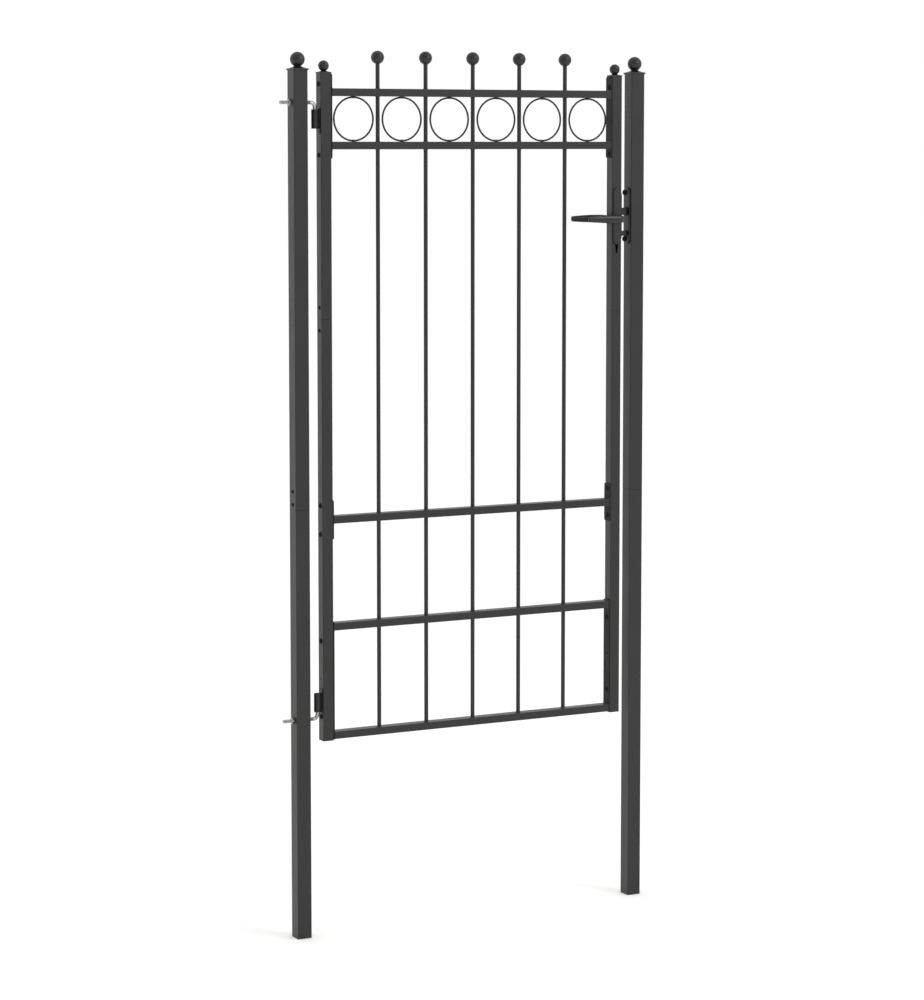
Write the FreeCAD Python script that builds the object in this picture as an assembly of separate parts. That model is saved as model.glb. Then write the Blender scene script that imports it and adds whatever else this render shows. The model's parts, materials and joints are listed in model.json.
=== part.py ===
import FreeCAD, Part
import math
import os

# A steel garden gate: one leaf between two posts that are set in the ground.
# Millimetres. +X runs from the hinge post to the latch post, +Y points away from the gate's front, +Z up.
# The origin is the middle of the whole gate, in plan, at the bottom of the posts.

# Posts: each is two square tubes, one on the other
span = 1050.0                   # outside of the hinge post to outside of the latch post
post_width = 40.0
post_wall = 1.5
post_corner = 1.5               # outside corner radius of the post tube
post_half_length = 1141.0       # length of each of a post's two tubes
post_sleeve_length = 200.0      # inner tube that joins a post's two tubes
post_sleeve_wall = 2.0
post_screw_lifts = (14.0, 48.0)  # joint screws, above the seam
inner_corner = 0.3              # inside corner radius of every tube

# Leaf frame
hinge_gap = 39.0                # hinge post to hinge stile
latch_gap = 28.0                # latch stile to latch post
stile_width = 30.0
stile_wall = 1.5
stile_corner = 1.5
seam_bevel = 0.6                # round the outside of a tube's end at a seam
stile_length = 1750.0
stile_top_drop = 6.0            # top of the stile tube below the top of the post tube
stile_upper_length = 638.0      # the upper of a stile's two tubes
stile_sleeve_length = 160.0
stile_sleeve_wall = 1.5
stile_screw_offset = 30.0       # joint screws, above and below the seam
sleeve_corner = 1.0

rail_height = 20.0
rail_depth = 30.0
rail_wall = 1.5
rail_corner = 1.5
top_rail_drop = 39.0            # top of the top rail below the top of the stile tube
middle_rail_lift = 574.0        # bottom of the middle rail above the bottom of the stile
lower_rail_lift = 290.0         # bottom of the lower rail above the bottom of the stile

# Bars, finials and rings
bar_count = 5
bar_diameter = 11.0
bar_top_rise = 73.0             # top of a bar above the top rail, inside its ball
finial_diameter = 35.0
finial_socket = 9.0             # depth that a bar enters its ball
ring_wire = 5.0
ring_side_gap = 5.8             # ring to the bars beside it

# End plates and their bolts
plate_thickness = 3.0
plate_corner = 6.0
top_plate_rise = 38.0           # plate above the top rail
top_plate_drop = 24.0           # plate below the ring rail
top_bolt_rise = 11.0            # bolt above the top rail
top_bolt_drop = 15.0            # bolt below the ring rail
middle_plate_reach = 42.0       # plate above and below the middle rail
middle_bolt_reach = 28.0        # bolt above and below the middle rail
bottom_plate_rise = 3.0         # plate above the lower rail
lower_bolt_drop = 27.0          # bolt below the lower rail
bottom_bolt_rise = 41.0         # bolt above the bottom rail
drain_hole = 6.0                # open hole halfway between those two bolts
bolt_diameter = 6.0
bolt_head = 14.0
bolt_head_height = 3.0
cap_nut_sleeve = 8.0
cap_nut_reach = 10.0            # length of a cap nut's sleeve

# Joint screws
screw_diameter = 5.0
screw_head = 10.0
screw_head_height = 2.5
screw_reach = 9.0
head_rounding = 0.7             # rim radius of a round head, of its height
socket_share = 0.4              # flats of a head's hexagon socket, of the head's diameter
socket_depth_share = 0.6        # depth of the socket, of the head's height

# Hinges: a bent threaded rod through the post, whose end is the pin of a barrel on the stile
rod_diameter = 10.0
rod_stub = 31.0                 # rod beyond the outside of the post
rod_bend = 12.0                 # centre-line radius of the bend
upper_rod_drop = 76.0           # rod below the top of the stile tube
lower_rod_lift = 57.0           # rod above the bottom of the stile tube
barrel_diameter = 18.0
barrel_length = 50.0
barrel_standoff = 17.5          # rod's axis to the near end of the barrel
pin_short_of_end = 3.0          # pin's tip short of the barrel's far end
hinge_plate_thickness = 2.0
hinge_plate_width = 20.0
hinge_plate_far = 12.0          # plate beyond the barrel's far end
hinge_plate_near = 3.0          # plate beyond the barrel's near end
hinge_plate_corner = 2.0
rod_nut_flats = 17.0
rod_nut_height = 8.0
nut_face_share = 0.48           # radius of a nut's round face, of its flats
nut_chamfer_slope = 1.7
insert_flange = 16.0            # threaded insert in the post's inner wall
insert_flange_thickness = 1.2
insert_body = 13.5
insert_length = 14.0

# Caps and plugs
post_rim_overhang = 2.5
post_rim_height = 5.0
post_flare_height = 3.0         # lower part of the rim, which widens upwards
post_flare_start = 0.4          # post cap wider than its post where it sits on it
post_ledge = 1.5                # flat top of the rim, each side of the roof
post_roof_height = 8.0
post_roof_bend = 3.2            # height at which the roof gets steeper
post_bend_share = 0.65          # width of the roof there, of the post's width
post_seat_share = 0.38          # width of the roof under the ball, of the post's width
post_ball = 38.5
post_ball_sink = 3.5            # ball into its roof
stile_rim_overhang = 1.0
stile_rim_height = 3.0
stile_roof_height = 4.0
stile_roof_share = 0.85         # width of the roof's foot, of the stile's width
stile_seat_share = 0.4          # width of the roof under the ball, of the stile's width
stile_ball = 28.0
stile_ball_sink = 2.0
cap_skirt = 15.0                # depth of a cap or plug inside its tube
skirt_wall = 2.0
foot_plug_flange = 3.0

# Lock, lever and keeper
lever_drop = 387.0              # spindle below the top of the stile tube
cover_rise = 8.0                # centre of the covers and the keeper above the spindle
cover_length = 155.0
cover_width = 24.0
cover_thickness = 5.0
cover_edge = 2.0
cover_screw_bite = 3.0          # screw's tip inside the front cover
cover_screw_socket = 3.6        # hole for that tip
collar_diameter = 23.0
collar_height = 3.0
neck_diameter = 18.0
neck_gap = 0.4                  # neck of the lever clear of its collar
lever_stand = 36.0              # middle of the grip from the stile's face
lever_elbow = 10.0              # radius of the elbow
# Grip stations: distance from the spindle, half height, half depth, set back towards the stile
grip_stations = (
    (2.0, 10.2, 8.0, 0.0),
    (30.0, 10.6, 7.6, 0.0),
    (55.0, 10.2, 7.0, 0.5),
    (80.0, 8.9, 6.2, 1.6),
    (107.0, 7.2, 5.0, 3.5),
)
spindle_side = 8.0
spindle_hole = 13.0             # hole in the covers and the stile
hub_diameter = 16.0
arm_length = 16.0
arm_thickness = 4.0             # across the arm, in the direction that it pushes
arm_lead = 0.5                  # pushing face ahead of the spindle's axis
arm_width = 4.0
case_wall = 1.2
case_below = 50.0               # case below the spindle
case_above = 50.0               # case above the spindle
bolt_rise = 20.0                # middle of the latch bolt above the spindle
bolt_height = 20.0
bolt_width = 12.0
bolt_entry = 6.0                # bolt's tip beyond the face of the keeper
bolt_bevel = 5.4
bolt_tail = 2.5                 # wall that the arm pushes
dead_bolt_drop = 40.0           # middle of the dead bolt below the spindle
dead_bolt_height = 14.0
dead_bolt_tail = 2.0            # its end, past the spindle's axis
keyhole_width = 10.0
keyhole_foot_width = 4.0
keyhole_length = 24.0           # part of the keyhole that shows below the cover
keyhole_cover = 2.0             # part hidden by the cover
notch_depth = 8.0
notch_length = 8.5
face_plate_thickness = 3.0
face_plate_width = 24.0
face_plate_length = 134.0
latch_spring_diameter = 6.0
latch_spring_wire = 1.0
latch_spring_turns = 6
latch_spring_socket = 16.0      # depth of the hole in the bolt that takes the spring
latch_spring_roof = 2.0         # bolt above that hole
keeper_thickness = 4.0
keeper_width = 32.0
keeper_edge = 2.0
keeper_screw_offset = 63.5      # from the middle of the keeper
keeper_screw_back = 7.5         # towards the back of the keeper
keeper_screw_head = 15.0
keeper_screw_head_height = 6.0
keeper_screw_diameter = 6.0
grub_diameter = 5.0
grub_length = 5.0

# Clearances
slide_fit = 0.3                 # a tube or a case inside a tube, each side
screw_fit = 0.2                 # a screw or a bar in its hole, each side
pin_fit = 0.05                  # a pin or a hub in its bore, each side
free_gap = 0.5                  # parts of the lock that pass each other
keeper_slot_gap = 1.0           # a bolt in the keeper, each side
tiny = 1e-6

# Places worked out from the sizes above
left_end = -(span + rod_stub + screw_head_height) / 2
hinge_post_x = left_end + rod_stub + post_width / 2
latch_post_x = hinge_post_x + span - post_width
hinge_post_outside = hinge_post_x - post_width / 2
hinge_post_inside = hinge_post_x + post_width / 2
latch_post_inside = latch_post_x - post_width / 2
latch_post_outside = latch_post_x + post_width / 2
hinge_stile_outside = hinge_post_inside + hinge_gap
hinge_stile_inside = hinge_stile_outside + stile_width
latch_stile_outside = latch_post_inside - latch_gap
latch_stile_inside = latch_stile_outside - stile_width
hinge_stile_x = (hinge_stile_outside + hinge_stile_inside) / 2
latch_stile_x = (latch_stile_outside + latch_stile_inside) / 2
rail_start = hinge_stile_inside + plate_thickness
rail_end = latch_stile_inside - plate_thickness
bay = (latch_stile_inside - hinge_stile_inside) / (bar_count + 1)
bar_places = [hinge_stile_inside + bay * (index + 1) for index in range(bar_count)]
ring_places = [hinge_stile_inside + bay * (index + 0.5) for index in range(bar_count + 1)]
ring_outer = bay - bar_diameter - 2 * ring_side_gap

post_top = 2 * post_half_length
stile_top = post_top - stile_top_drop
stile_bottom = stile_top - stile_length
stile_seam = stile_top - stile_upper_length
top_rail_z = stile_top - top_rail_drop - rail_height
ring_rail_z = top_rail_z - ring_outer - rail_height
middle_rail_z = stile_bottom + middle_rail_lift
lower_rail_z = stile_bottom + lower_rail_lift
bottom_rail_z = stile_bottom
bar_bottom = bottom_rail_z + rail_wall
bar_top = top_rail_z + rail_height + bar_top_rise
finial_z = bar_top - finial_socket + finial_diameter / 2

top_bolts = (top_rail_z + rail_height + top_bolt_rise, ring_rail_z - top_bolt_drop)
middle_bolts = (middle_rail_z + rail_height + middle_bolt_reach, middle_rail_z - middle_bolt_reach)
bottom_bolts = (lower_rail_z - lower_bolt_drop, bottom_rail_z + rail_height + bottom_bolt_rise)
frame_bolt_heights = top_bolts + middle_bolts + bottom_bolts
drain_hole_z = sum(bottom_bolts) / 2

pin_x = hinge_stile_outside - hinge_plate_thickness - barrel_diameter / 2
upper_rod_z = stile_top - upper_rod_drop
lower_rod_z = stile_bottom + lower_rod_lift

spindle_x = latch_stile_x
spindle_z = stile_top - lever_drop
cover_z = spindle_z + cover_rise
stile_face = stile_width / 2
latch_bolt_z = spindle_z + bolt_rise
dead_bolt_z = spindle_z - dead_bolt_drop
keeper_face_x = latch_post_inside - keeper_thickness
spring_z = latch_bolt_z + bolt_height / 2 - latch_spring_diameter / 2 - free_gap - latch_spring_roof
spindle_end = stile_face + lever_stand - lever_elbow / 2
neck_start_y = -(stile_face + cover_thickness + collar_height + neck_gap)
grub_y = (neck_start_y - spindle_end) / 2
bolt_tail_x = spindle_x - arm_lead - free_gap - bolt_tail


def at(shape, x, y, z):
    moved = shape.copy()
    moved.translate(FreeCAD.Vector(x, y, z))
    return moved


def box(x0, x1, y0, y1, z0, z1):
    return Part.makeBox(x1 - x0, y1 - y0, z1 - z0, FreeCAD.Vector(x0, y0, z0))


def rod_along(axis, radius, start, length):
    """A cylinder from start, along a unit axis."""
    return Part.makeCylinder(radius, length, FreeCAD.Vector(*start), FreeCAD.Vector(*axis))


def fillet_along(solid, axis, radius):
    """Round the straight edges that run along one axis."""
    direction = FreeCAD.Vector(*axis)
    lines = [edge for edge in solid.Edges if isinstance(edge.Curve, Part.Line)]
    chosen = [edge for edge in lines if edge.Curve.Direction.cross(direction).Length < tiny]
    return solid.makeFillet(radius, chosen)


def square_section(width_x, width_y, length, corner):
    """A square bar along Z with rounded corners, centred in plan, standing on z = 0."""
    solid = box(-width_x / 2, width_x / 2, -width_y / 2, width_y / 2, 0, length)
    return fillet_along(solid, (0, 0, 1), corner)


def square_tube(width_x, width_y, length, wall, corner):
    outside = square_section(width_x, width_y, length, corner)
    inside = square_section(width_x - 2 * wall, width_y - 2 * wall, length, inner_corner)
    return outside.cut(inside)


def frustum(width_0, width_1, z0, z1):
    """A square block that changes width from z0 to z1."""
    rings = []
    for width, z in ((width_0, z0), (width_1, z1)):
        half = width / 2
        corners = [(-half, -half), (half, -half), (half, half), (-half, half), (-half, -half)]
        rings.append(Part.makePolygon([FreeCAD.Vector(x, y, z) for x, y in corners]))
    return Part.makeLoft(rings, True, True)


def racetrack(width, length, thickness):
    """A plate in the YZ plane with half-round ends, from x = 0 to x = thickness."""
    straight = length / 2 - width / 2
    plate = box(0, thickness, -width / 2, width / 2, -straight, straight)
    for end in (-straight, straight):
        plate = plate.fuse(rod_along((1, 0, 0), width / 2, (0, 0, end), thickness))
    return plate.removeSplitter()


def turned_to_front(shape):
    """Turn a plate that faces +X so that it faces -Y."""
    turned = shape.copy()
    turned.rotate(FreeCAD.Vector(0, 0, 0), FreeCAD.Vector(0, 0, 1), -90)
    return turned


def mirrored_y(shape):
    return shape.mirror(FreeCAD.Vector(0, 0, 0), FreeCAD.Vector(0, 1, 0))


def domed_disc(diameter, height, point, axis):
    """A low round head whose flat side sits at point, with its rim rounded."""
    disc = rod_along(axis, diameter / 2, point, height)
    far = FreeCAD.Vector(*point) + FreeCAD.Vector(*axis) * height
    circles = [edge for edge in disc.Edges if isinstance(edge.Curve, Part.Circle)]
    rim = [edge for edge in circles if (edge.Curve.Center - far).Length < tiny]
    return disc.makeFillet(height * head_rounding, rim)


def hex_bar(flats, length, start, axis):
    """A six-sided bar along a level unit axis, with a flat side up."""
    along = FreeCAD.Vector(*axis)
    up = FreeCAD.Vector(0, 0, 1)
    aside = along.cross(up)
    radius = flats / math.sqrt(3)
    corners = []
    centre = FreeCAD.Vector(*start)
    for step in range(7):
        turn = math.radians(60 * step)
        corners.append(centre + aside * (radius * math.cos(turn)) + up * (radius * math.sin(turn)))
    return Part.Face(Part.makePolygon(corners)).extrude(along * length)


def socket_head(diameter, height, point, axis):
    """A low round head with a hexagon socket, whose flat side sits at point."""
    depth = height * socket_depth_share
    mouth = FreeCAD.Vector(*point) + FreeCAD.Vector(*axis) * (height - depth)
    socket = hex_bar(diameter * socket_share, height, mouth, axis)
    return domed_disc(diameter, height, point, axis).cut(socket)


def cross_hole(diameter, x0, x1, z):
    """A hole along X through the middle plane of the gate."""
    return rod_along((1, 0, 0), diameter / 2, (x0, 0, z), x1 - x0)


# --- posts ---

def post_tube(x, z0):
    tube = square_tube(post_width, post_width, post_half_length, post_wall, post_corner)
    end = post_half_length if z0 == 0 else 0
    return at(deburred(tube, end, (post_width - post_wall) / 2), x, 0, z0)


def deburred(tube, z, reach):
    """A small bevel round the outside of a tube's cut end; reach tells outer edges from inner ones."""
    rim = []
    for edge in tube.Edges:
        bounds = edge.BoundBox
        level = abs(bounds.ZMin - z) + abs(bounds.ZMax - z) < tiny
        if level and max(bounds.XMax, -bounds.XMin, bounds.YMax, -bounds.YMin) > reach:
            rim.append(edge)
    return tube.makeChamfer(seam_bevel, rim)


def post_sleeve(x):
    side = post_width - 2 * post_wall - 2 * slide_fit
    sleeve = square_tube(side, side, post_sleeve_length, post_sleeve_wall, post_corner)
    return at(sleeve, x, 0, post_half_length - post_sleeve_length / 2)


def post_screw_points():
    """Outer face, direction of the head, and height of each post joint screw."""
    points = []
    for face, outward in ((hinge_post_outside, -1), (latch_post_outside, 1)):
        for lift in post_screw_lifts:
            points.append((face, outward, post_half_length + lift))
    return points


def stile_screw_points():
    points = []
    for face, outward in ((hinge_stile_outside, -1), (latch_stile_outside, 1)):
        for offset in (-stile_screw_offset, stile_screw_offset):
            points.append((face, outward, stile_seam + offset))
    return points


def joint_screws(points):
    screws = []
    for face, outward, z in points:
        head = socket_head(screw_head, screw_head_height, (face, 0, z), (outward, 0, 0))
        shank = rod_along((-outward, 0, 0), screw_diameter / 2, (face, 0, z), screw_reach)
        screws.append(head.fuse(shank))
    return Part.makeCompound(screws)


def screw_holes(points):
    holes = []
    for face, outward, z in points:
        start = face + outward
        hole = rod_along((-outward, 0, 0), screw_diameter / 2 + screw_fit, (start, 0, z), screw_reach + 2)
        holes.append(hole)
    return holes


def rod_holes(rod_z):
    """Clearance hole in the post's outer wall and the insert's hole in its inner wall."""
    outer = cross_hole(rod_diameter + 2 * screw_fit, hinge_post_outside - 1, hinge_post_x, rod_z)
    inner = cross_hole(insert_body + 2 * screw_fit, hinge_post_x, hinge_post_inside + 1, rod_z)
    return [outer, inner]


def cut_all(solid, tools):
    for tool in tools:
        solid = solid.cut(tool)
    return solid


def bolt_blocks(x0, x1, gap):
    """The blocks that are cut from whatever the latch bolt and the dead bolt pass through."""
    half_y = bolt_width / 2 + gap
    blocks = []
    for z, height in ((latch_bolt_z, bolt_height), (dead_bolt_z, dead_bolt_height)):
        half_z = height / 2 + gap
        blocks.append(box(x0, x1, -half_y, half_y, z - half_z, z + half_z))
    return blocks


def keeper_slots():
    return bolt_blocks(keeper_face_x - 1, latch_post_inside + post_wall + 1, keeper_slot_gap)


def keeper_screw_heights():
    return [cover_z - keeper_screw_offset, cover_z + keeper_screw_offset]


def keeper_screw_holes():
    radius = keeper_screw_diameter / 2 + screw_fit
    length = latch_post_x - keeper_face_x
    starts = [(keeper_face_x - 1, keeper_screw_back, z) for z in keeper_screw_heights()]
    return [rod_along((1, 0, 0), radius, start, length) for start in starts]


def make_posts(parts):
    post_points = post_screw_points()
    holes = screw_holes(post_points)
    hinge_upper = post_tube(hinge_post_x, post_half_length)
    latch_upper = post_tube(latch_post_x, post_half_length)
    parts["hinge_post_lower"] = cut_all(post_tube(hinge_post_x, 0), rod_holes(lower_rod_z))
    parts["hinge_post_upper"] = cut_all(hinge_upper, holes + rod_holes(upper_rod_z))
    parts["latch_post_lower"] = post_tube(latch_post_x, 0)
    parts["latch_post_upper"] = cut_all(latch_upper, holes + keeper_screw_holes() + keeper_slots())
    sleeves = [cut_all(post_sleeve(x), holes) for x in (hinge_post_x, latch_post_x)]
    parts["post_sleeves"] = Part.makeCompound(sleeves)
    parts["post_joint_screws"] = joint_screws(post_points)
    for side, x in (("hinge", hinge_post_x), ("latch", latch_post_x)):
        parts[side + "_post_cap"] = at(post_cap(), x, 0, post_top)


def post_cap():
    """A flared rim, a low hollow-sided roof and a ball, with a skirt that fits in the tube."""
    rim = post_width + 2 * post_rim_overhang
    bend = post_width * post_bend_share
    bend_z = post_rim_height + post_roof_bend
    roof_top = post_rim_height + post_roof_height
    cap = frustum(post_width + post_flare_start, rim, 0, post_flare_height)
    cap = cap.fuse(box(-rim / 2, rim / 2, -rim / 2, rim / 2, post_flare_height, post_rim_height))
    cap = cap.fuse(frustum(rim - 2 * post_ledge, bend, post_rim_height, bend_z))
    cap = cap.fuse(frustum(bend, post_width * post_seat_share, bend_z, roof_top))
    return finish_cap(cap, post_width, post_wall, post_ball, roof_top, post_ball_sink)


def stile_cap():
    rim = stile_width + 2 * stile_rim_overhang
    roof_top = stile_rim_height + stile_roof_height
    cap = box(-rim / 2, rim / 2, -rim / 2, rim / 2, 0, stile_rim_height)
    cap = fillet_along(cap, (0, 0, 1), stile_corner)
    roof = frustum(stile_width * stile_roof_share, stile_width * stile_seat_share, stile_rim_height, roof_top)
    cap = cap.fuse(roof)
    return finish_cap(cap, stile_width, stile_wall, stile_ball, roof_top, stile_ball_sink)


def finish_cap(cap, tube_width, wall, ball, roof_top, sink):
    """Add the ball on the roof and the skirt inside the tube."""
    centre = FreeCAD.Vector(0, 0, roof_top - sink + ball / 2)
    cap = cap.fuse(Part.makeSphere(ball / 2, centre))
    return cap.fuse(plug_skirt(tube_width, wall)).removeSplitter()


def plug_skirt(tube_width, wall):
    side = tube_width - 2 * wall - 2 * slide_fit
    return at(square_tube(side, side, cap_skirt, skirt_wall, sleeve_corner), 0, 0, -cap_skirt)


# --- hinges ---

def hinge_rod(rod_z, direction):
    """A bent rod: from outside the post, through it, and round the bend into the barrel."""
    tip = barrel_standoff + barrel_length - pin_short_of_end
    corner_x = pin_x - rod_bend
    mid_x = corner_x + rod_bend * math.sin(math.pi / 4)
    mid_z = rod_z + direction * rod_bend * (1 - math.cos(math.pi / 4))
    start = FreeCAD.Vector(left_end, 0, rod_z)
    corner = FreeCAD.Vector(corner_x, 0, rod_z)
    middle = FreeCAD.Vector(mid_x, 0, mid_z)
    turned = FreeCAD.Vector(pin_x, 0, rod_z + direction * rod_bend)
    end = FreeCAD.Vector(pin_x, 0, rod_z + direction * tip)
    path = Part.Wire([Part.LineSegment(start, corner).toShape(),
                      Part.Arc(corner, middle, turned).toShape(),
                      Part.LineSegment(turned, end).toShape()])
    profile = Part.Wire([Part.Circle(start, FreeCAD.Vector(1, 0, 0), rod_diameter / 2).toShape()])
    return path.makePipeShell([profile], True, False)


def barrel_low_end(rod_z, direction):
    near = rod_z + direction * barrel_standoff
    return min(near, near + direction * barrel_length)


def hinge_barrel(rod_z, direction):
    z0 = barrel_low_end(rod_z, direction)
    barrel = rod_along((0, 0, 1), barrel_diameter / 2, (pin_x, 0, z0), barrel_length)
    bore = rod_along((0, 0, 1), rod_diameter / 2 + pin_fit, (pin_x, 0, z0 - 1), barrel_length + 2)
    return barrel.cut(bore)


def hinge_weld_plate(rod_z, direction):
    """The flat plate between a barrel and the stile."""
    below = hinge_plate_near if direction > 0 else hinge_plate_far
    above = hinge_plate_far if direction > 0 else hinge_plate_near
    z0 = barrel_low_end(rod_z, direction)
    half = hinge_plate_width / 2
    x0 = hinge_stile_outside - hinge_plate_thickness
    plate = box(x0, hinge_stile_outside, -half, half, z0 - below, z0 + barrel_length + above)
    return fillet_along(plate, (1, 0, 0), hinge_plate_corner)


def hex_nut(flats, height, bore, x0, z):
    """A six-sided nut along X, from x0, chamfered round its outer face."""
    prism = hex_bar(flats, height, (x0, 0, z), (1, 0, 0))
    face = flats * nut_face_share
    rounding = Part.makeCone(face, face + height * nut_chamfer_slope, height,
                             FreeCAD.Vector(x0, 0, z), FreeCAD.Vector(1, 0, 0))
    return prism.common(rounding).cut(cross_hole(bore, x0 - 1, x0 + height + 1, z))


def threaded_insert(z):
    flange = cross_hole(insert_flange, hinge_post_inside, hinge_post_inside + insert_flange_thickness, z)
    body = cross_hole(insert_body, hinge_post_inside - insert_length, hinge_post_inside, z)
    bore = cross_hole(rod_diameter + 2 * pin_fit, hinge_post_inside - insert_length - 1,
                      hinge_post_inside + insert_flange_thickness + 1, z)
    return flange.fuse(body).cut(bore)


def make_hinges(parts):
    hinges = (("upper", upper_rod_z, -1), ("lower", lower_rod_z, 1))
    nuts = []
    inserts = []
    plates = []
    for name, rod_z, direction in hinges:
        parts[name + "_hinge_rod"] = hinge_rod(rod_z, direction)
        parts[name + "_hinge_barrel"] = hinge_barrel(rod_z, direction)
        nuts.append(hex_nut(rod_nut_flats, rod_nut_height, rod_diameter + 2 * pin_fit,
                            hinge_post_outside - rod_nut_height, rod_z))
        inserts.append(threaded_insert(rod_z))
        plates.append(hinge_weld_plate(rod_z, direction))
    parts["hinge_rod_nuts"] = Part.makeCompound(nuts)
    parts["hinge_rod_inserts"] = Part.makeCompound(inserts)
    parts["hinge_weld_plates"] = Part.makeCompound(plates)


# --- leaf ---

def stile_tube(x, z0, length):
    tube = square_tube(stile_width, stile_width, length, stile_wall, stile_corner)
    end = 0 if z0 == stile_seam else length
    return at(deburred(tube, end, (stile_width - stile_wall) / 2), x, 0, z0)


def bolt_holes():
    """Bolt clearance in each stile's outer wall, cap nut clearance in its inner wall and in the plate."""
    holes = []
    bolt_hole = bolt_diameter + 2 * screw_fit
    nut_hole = cap_nut_sleeve + 2 * screw_fit
    for z in frame_bolt_heights:
        holes.append(cross_hole(bolt_hole, hinge_stile_outside - 1, hinge_stile_x, z))
        holes.append(cross_hole(nut_hole, hinge_stile_x, rail_start + 1, z))
        holes.append(cross_hole(nut_hole, rail_end - 1, latch_stile_x, z))
        holes.append(cross_hole(bolt_hole, latch_stile_x, latch_stile_outside + 1, z))
    holes.append(cross_hole(drain_hole, hinge_stile_outside - 1, rail_start + 1, drain_hole_z))
    holes.append(cross_hole(drain_hole, rail_end - 1, latch_stile_outside + 1, drain_hole_z))
    return holes


def frame_bolts():
    bolts = []
    for face, inward in ((hinge_stile_outside, 1), (latch_stile_outside, -1)):
        for z in frame_bolt_heights:
            head = socket_head(bolt_head, bolt_head_height, (face, 0, z), (-inward, 0, 0))
            shank = rod_along((inward, 0, 0), bolt_diameter / 2, (face, 0, z), stile_width + plate_thickness)
            bolts.append(head.fuse(shank))
    return Part.makeCompound(bolts)


def frame_cap_nuts():
    nuts = []
    for face, outward in ((rail_start, -1), (rail_end, 1)):
        for z in frame_bolt_heights:
            head = socket_head(bolt_head, bolt_head_height, (face, 0, z), (-outward, 0, 0))
            sleeve = rod_along((outward, 0, 0), cap_nut_sleeve / 2, (face, 0, z), cap_nut_reach)
            bore = rod_along((outward, 0, 0), bolt_diameter / 2 + pin_fit, (face, 0, z), cap_nut_reach)
            nuts.append(head.fuse(sleeve).cut(bore))
    return Part.makeCompound(nuts)


def end_plate(x0, z0, z1):
    half = stile_width / 2
    plate = box(x0, x0 + plate_thickness, -half, half, z0, z1)
    return fillet_along(plate, (1, 0, 0), plate_corner)


def bar_holes(z0):
    radius = bar_diameter / 2 + screw_fit
    return [rod_along((0, 0, 1), radius, (x, 0, z0), rail_height + 2) for x in bar_places]


def rail(z):
    """A flat tube along X between the end plates."""
    tube = square_tube(rail_height, rail_depth, rail_end - rail_start, rail_wall, rail_corner)
    tube.rotate(FreeCAD.Vector(0, 0, 0), FreeCAD.Vector(0, 1, 0), 90)
    return at(tube, rail_start, 0, z + rail_height / 2)


def make_rails(parts):
    through = {"top_rail": top_rail_z, "ring_rail": ring_rail_z,
               "middle_rail": middle_rail_z, "lower_rail": lower_rail_z}
    for name, z in through.items():
        parts[name] = cut_all(rail(z), bar_holes(z - 1))
    parts["bottom_rail"] = cut_all(rail(bottom_rail_z), bar_holes(bar_bottom))


def make_bars(parts):
    finials = []
    for index, x in enumerate(bar_places):
        bar = rod_along((0, 0, 1), bar_diameter / 2, (x, 0, bar_bottom), bar_top - bar_bottom)
        parts["bar_%d" % (index + 1)] = bar
        socket = rod_along((0, 0, 1), bar_diameter / 2 + pin_fit, (x, 0, bar_bottom), bar.BoundBox.ZLength)
        finials.append(Part.makeSphere(finial_diameter / 2, FreeCAD.Vector(x, 0, finial_z)).cut(socket))
    parts["ball_finials"] = Part.makeCompound(finials)


def make_rings(parts):
    """Rings that touch the rail above and the rail below."""
    z = ring_rail_z + rail_height + ring_outer / 2
    rings = [Part.makeTorus((ring_outer - ring_wire) / 2, ring_wire / 2, FreeCAD.Vector(x, 0, z),
                            FreeCAD.Vector(0, 1, 0)) for x in ring_places]
    parts["rings"] = Part.makeCompound(rings)


def make_end_plates(parts):
    spans = {"top": (ring_rail_z - top_plate_drop, top_rail_z + rail_height + top_plate_rise),
             "middle": (middle_rail_z - middle_plate_reach, middle_rail_z + rail_height + middle_plate_reach),
             "bottom": (bottom_rail_z, lower_rail_z + rail_height + bottom_plate_rise)}
    holes = bolt_holes()
    for name, (z0, z1) in spans.items():
        parts["hinge_side_%s_plate" % name] = cut_all(end_plate(hinge_stile_inside, z0, z1), holes)
        parts["latch_side_%s_plate" % name] = cut_all(end_plate(rail_end, z0, z1), holes)


def lock_openings():
    """Openings in the latch stile for the two bolts, the spindle and the key."""
    spindle = rod_along((0, 1, 0), spindle_hole / 2, (spindle_x, -stile_face - 1, spindle_z), stile_width + 2)
    return bolt_passages(latch_stile_x, latch_stile_outside + 1) + [spindle, keyhole()]


def bolt_passages(x0, x1):
    return bolt_blocks(x0, x1, free_gap)


def keyhole():
    """The slot for the key in the stile's front wall, narrower at its foot, just below the cover."""
    top = cover_z - cover_length / 2 + keyhole_cover
    foot = top - keyhole_cover - keyhole_length
    half_top = keyhole_width / 2
    half_foot = keyhole_foot_width / 2
    outline = ((-half_top, top), (half_top, top), (half_foot, foot), (-half_foot, foot), (-half_top, top))
    front = -stile_face - 1
    corners = [FreeCAD.Vector(spindle_x + x, front, z) for x, z in outline]
    return Part.Face(Part.makePolygon(corners)).extrude(FreeCAD.Vector(0, stile_wall + 2, 0))


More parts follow.
